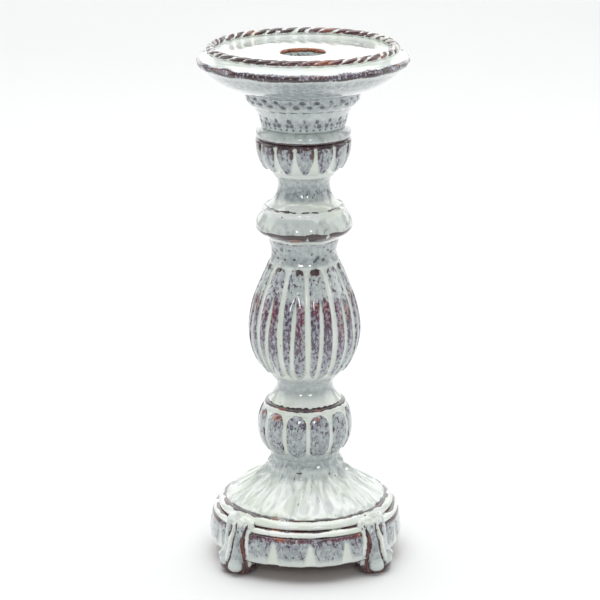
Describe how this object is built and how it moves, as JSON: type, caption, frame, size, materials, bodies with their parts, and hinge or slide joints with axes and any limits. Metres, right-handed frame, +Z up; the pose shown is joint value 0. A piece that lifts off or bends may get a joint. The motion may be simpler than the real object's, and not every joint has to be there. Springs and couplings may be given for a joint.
{
  "type": "pedestal candlestick",
  "caption": "Glazed earthenware pedestal candlestick with a rope-edged drip dish, fluted baluster stem, petalled dome base and scroll feet.",
  "frame": {"origin": "on the table, in the middle of the four feet, straight under the candle hole", "axes": "+Z up along the stem towards the candle; -Y towards the viewer, midway between the two front feet; +X to the viewer's right"},
  "size_m": [0.113, 0.113, 0.286],
  "materials": {
    "cream_glaze": "gloss",
    "speckled_glaze": "gloss",
    "rope_glaze": "gloss"
  },
  "bodies": {
    "root": {"candle_socket": "cream_glaze", "rope_rim": "rope_glaze", "drip_dish": "cream_glaze", "neck_bell": "cream_glaze", "upper_bead": "cream_glaze", "upper_knop": "speckled_glaze", "upper_spool": "cream_glaze", "collar_ring": "cream_glaze", "baluster": "speckled_glaze", "lower_spool": "cream_glaze", "lower_bead": "cream_glaze", "lower_knop": "speckled_glaze", "base_dome": "cream_glaze", "base_ring_upper": "cream_glaze", "base_ring_lower": "cream_glaze", "base_drum": "speckled_glaze", "foot_front_left": "cream_glaze", "foot_front_right": "cream_glaze", "foot_back_left": "cream_glaze", "foot_back_right": "cream_glaze"}
  },
  "joints": []
}
